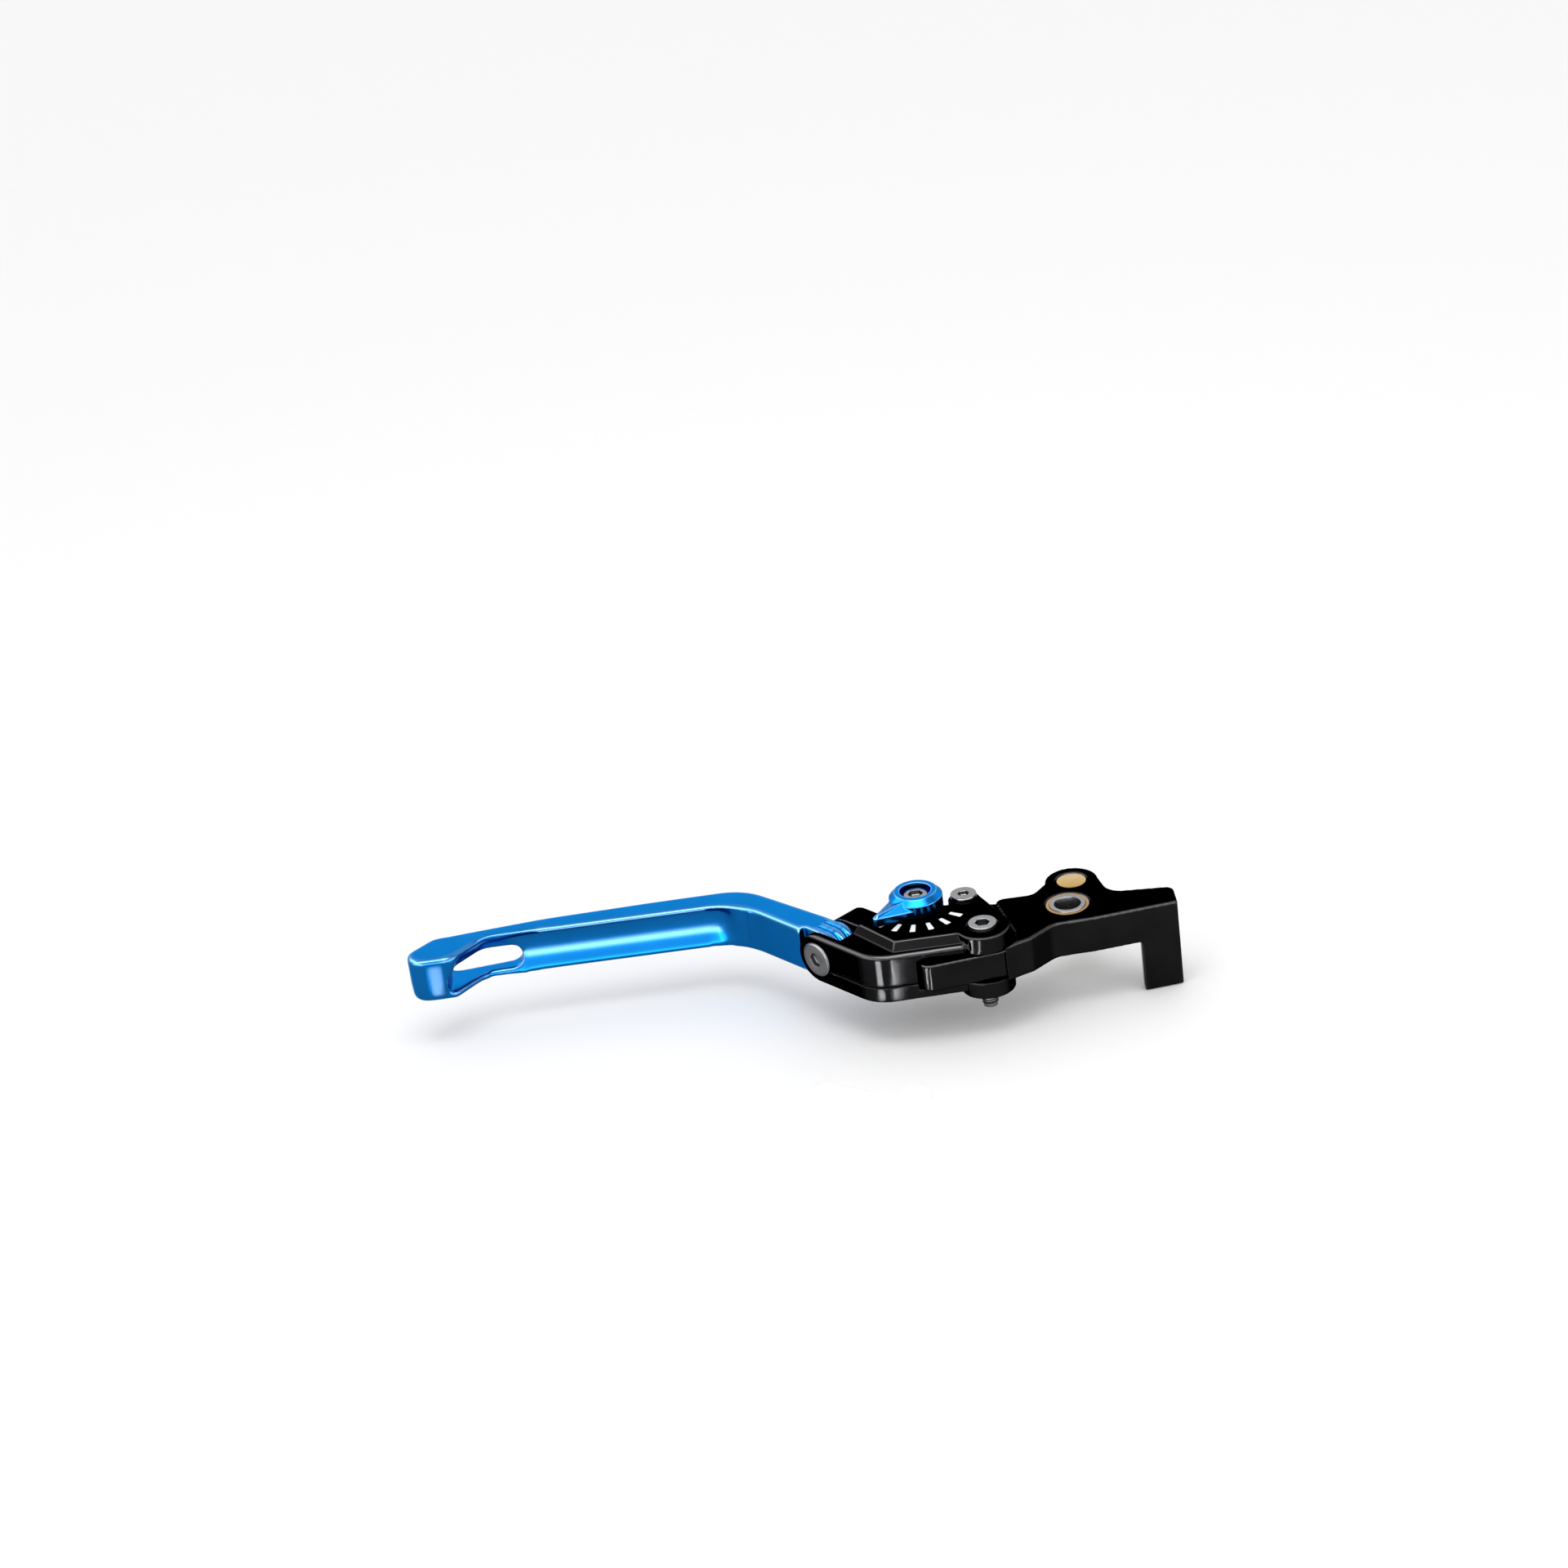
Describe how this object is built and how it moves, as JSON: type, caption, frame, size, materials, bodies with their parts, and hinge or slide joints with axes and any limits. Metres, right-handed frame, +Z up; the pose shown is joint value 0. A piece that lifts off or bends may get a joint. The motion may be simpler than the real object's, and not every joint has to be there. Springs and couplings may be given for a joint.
{
  "type": "motorcycle clutch lever",
  "caption": "Folding hand lever with a blue blade, a black body with a pointer dial that sets the reach, and a pivot adaptor with a switch leg.",
  "frame": {"origin": "centre of the perch pivot, at mid height of the adaptor", "axes": "+Z up the perch pivot, -X along the lever towards the tip of the blade, +Y towards the handlebar grip"},
  "size_m": [0.2321, 0.0586, 0.0383],
  "materials": {
    "blue_anodised": "blue anodised, satin",
    "black_anodised": "black anodised, satin, fine bead blast",
    "zinc_steel": "zinc plated, turned",
    "bright_screw": "bright plated",
    "satin_bolt": "satin grey plated",
    "polished_ball": "polished bearing steel",
    "spring_steel": "drawn wire",
    "bronze": "sintered bronze, oiled",
    "brass": "turned brass",
    "white_ink": "white filled paint"
  },
  "bodies": {
    "perch_side": {"pivot_sleeve": "zinc_steel"},
    "adaptor_body": {"adaptor": "black_anodised", "pivot_bush": "bronze", "reach_bush": "bronze", "reach_spring": "spring_steel"},
    "barrel": {"pushrod_barrel": "brass"},
    "lever_body_group": {"lever_body": "black_anodised", "reach_shims": "zinc_steel", "reach_screw": "bright_screw", "stop_screw": "bright_screw", "stop_sleeve": "zinc_steel", "detent_ball": "polished_ball", "detent_spring": "spring_steel", "position_marks": "white_ink", "hinge_bolt": "satin_bolt", "hinge_nut": "zinc_steel", "fold_spring": "spring_steel"},
    "selector": {"selector_dial": "blue_anodised", "selector_cam": "zinc_steel", "selector_screw": "bright_screw"},
    "blade_body": {"blade": "blue_anodised", "fold_bush": "bronze"}
  },
  "joints": [
    {"name": "lever_pull", "type": "hinge", "parent": "perch_side", "child": "adaptor_body", "pos_m": [0, 0, 0], "axis": [0, 0, -1], "range_deg": [0, 20]},
    {"name": "barrel_swivel", "type": "hinge", "parent": "adaptor_body", "child": "barrel", "pos_m": [0.003, 0.0145, 0], "axis": [0, 0, 1], "range_deg": [-15, 15]},
    {"name": "reach_adjust", "type": "hinge", "parent": "adaptor_body", "child": "lever_body_group", "pos_m": [-0.0268, -0.0149, 0], "axis": [0, 0, -1], "range_deg": [0, 8]},
    {"name": "dial_turn", "type": "hinge", "parent": "lever_body_group", "child": "selector", "pos_m": [-0.0448, 0.0023, 0], "axis": [0, 0, 1], "range_deg": [0, 105]},
    {"name": "blade_fold", "type": "hinge", "parent": "lever_body_group", "child": "blade_body", "pos_m": [-0.0764, -0.0031, 0], "axis": [0.766, 0.6428, 0], "range_deg": [0, 90], "stiffness_Nm_per_rad": 0.6, "springref_deg": -28.65}
  ],
  "couplings": [
    {"joint": "dial_turn", "follows": "reach_adjust", "ratio": 13.125}
  ]
}
